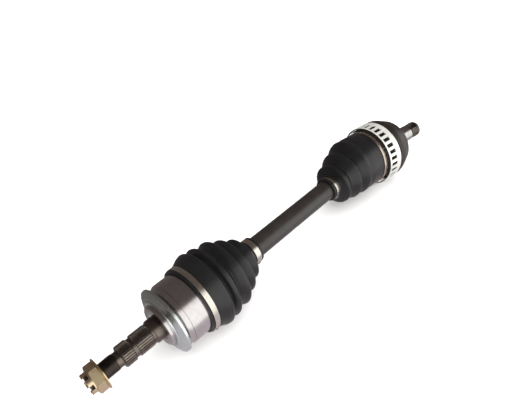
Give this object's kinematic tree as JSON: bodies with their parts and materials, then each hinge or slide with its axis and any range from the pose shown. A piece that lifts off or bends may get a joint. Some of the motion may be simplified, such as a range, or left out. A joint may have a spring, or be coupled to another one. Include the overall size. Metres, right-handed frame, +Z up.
{
  "type": "cv axle",
  "caption": "Front drive axle: splined stub and nut, ball joint with ribbed boot, solid bar, ribbed boot and plunging roller joint with toothed sensor ring.",
  "frame": {"origin": "on the bar's axis, in the plane of the bearing shoulder of the wheel-end bell", "axes": "+X along the bar from the wheel end to the gearbox end, +Z up, and the gearbox joint bends about Z"},
  "size_m": [0.672, 0.1084, 0.1084],
  "materials": {
    "bar_paint": "satin brown-black paint",
    "stub_steel": "dark oiled steel with a ground bell",
    "ground_steel": "ground bright",
    "bearing_steel": "polished",
    "zinc": "bright zinc plate",
    "yellow_zinc": "yellow zinc plate",
    "boot_rubber": "black moulded rubber",
    "clamp_steel": "rolled stainless band",
    "housing_steel": "dark phosphated forging"
  },
  "bodies": {
    "shaft": {"bar_shaft": "bar_paint", "race_snap_ring": "ground_steel", "spider_snap_ring": "ground_steel", "inner_race": "bearing_steel", "tripod_spider": "bearing_steel", "wheel_boot": "boot_rubber", "gearbox_boot": "boot_rubber", "wheel_boot_small_clamp": "clamp_steel", "gearbox_boot_small_clamp": "clamp_steel"},
    "wheel_bell": {"bell_and_stub": "stub_steel", "dust_shield": "zinc", "axle_nut": "yellow_zinc", "wheel_boot_large_clamp": "clamp_steel"},
    "cage": {"ball_cage": "bearing_steel", "ball_1": "bearing_steel", "ball_2": "bearing_steel", "ball_3": "bearing_steel", "ball_4": "bearing_steel", "ball_5": "bearing_steel", "ball_6": "bearing_steel"},
    "carrier_1": {"roller_inner_ring_1": "bearing_steel", "needle_rollers_1": "bearing_steel"},
    "carrier_2": {"roller_inner_ring_2": "bearing_steel", "needle_rollers_2": "bearing_steel"},
    "carrier_3": {"roller_inner_ring_3": "bearing_steel", "needle_rollers_3": "bearing_steel"},
    "roller_1": {"outer_roller_1": "bearing_steel", "roller_inner_retainer_1": "ground_steel", "roller_outer_retainer_1": "ground_steel"},
    "roller_2": {"outer_roller_2": "bearing_steel", "roller_inner_retainer_2": "ground_steel", "roller_outer_retainer_2": "ground_steel"},
    "roller_3": {"outer_roller_3": "bearing_steel", "roller_inner_retainer_3": "ground_steel", "roller_outer_retainer_3": "ground_steel"},
    "gearbox_end": {"gearbox_housing": "housing_steel", "stub_snap_ring": "ground_steel", "tone_ring": "zinc", "gearbox_boot_large_clamp": "clamp_steel"}
  },
  "joints": [
    {"name": "wheel_bend", "type": "hinge", "parent": "shaft", "child": "wheel_bell", "pos_m": [0.0404, 0, 0], "axis": [0, 0, 1], "range_deg": [-45, 45], "deforming": ["wheel_boot"]},
    {"name": "cage_bend", "type": "hinge", "parent": "shaft", "child": "cage", "pos_m": [0.0404, 0, 0], "axis": [0, 0, 1], "range_deg": [-22.5, 22.5]},
    {"name": "gearbox_bend", "type": "hinge", "parent": "shaft", "child": "carrier_1", "pos_m": [0.451, 0, 0], "axis": [0, 0, 1], "range_deg": [-12.5, 27.5], "deforming": ["gearbox_boot"]},
    {"name": "plunge", "type": "slide", "parent": "carrier_1", "child": "gearbox_end", "axis": [0.9914, -0.1305, 0], "range_m": [-0.016, 0.016]},
    {"name": "carrier_2_bend", "type": "hinge", "parent": "shaft", "child": "carrier_2", "pos_m": [0.451, -0.02165, -0.0125], "axis": [0, 0, 1], "range_deg": [-12.5, 27.5]},
    {"name": "carrier_3_bend", "type": "hinge", "parent": "shaft", "child": "carrier_3", "pos_m": [0.451, 0.02165, -0.0125], "axis": [0, 0, 1], "range_deg": [-12.5, 27.5]},
    {"name": "roller_1_spin", "type": "hinge", "parent": "carrier_1", "child": "roller_1", "pos_m": [0.451, 0, 0.025], "axis": [0, 0, 1], "range_deg": [-56.1, 56.1]},
    {"name": "roller_2_spin", "type": "hinge", "parent": "carrier_2", "child": "roller_2", "pos_m": [0.451, -0.02165, -0.0125], "axis": [-0.113, -0.8586, -0.5], "range_deg": [-56.1, 56.1]},
    {"name": "roller_3_spin", "type": "hinge", "parent": "carrier_3", "child": "roller_3", "pos_m": [0.451, 0.02165, -0.0125], "axis": [0.113, 0.8586, -0.5], "range_deg": [-56.1, 56.1]}
  ],
  "couplings": [
    {"joint": "cage_bend", "follows": "wheel_bend", "ratio": 0.5},
    {"joint": "carrier_2_bend", "follows": "gearbox_bend", "ratio": 1},
    {"joint": "carrier_3_bend", "follows": "gearbox_bend", "ratio": 1},
    {"joint": "roller_1_spin", "follows": "plunge", "rad_per_m": 60.606},
    {"joint": "roller_2_spin", "follows": "plunge", "rad_per_m": 60.606},
    {"joint": "roller_3_spin", "follows": "plunge", "rad_per_m": 60.606}
  ]
}
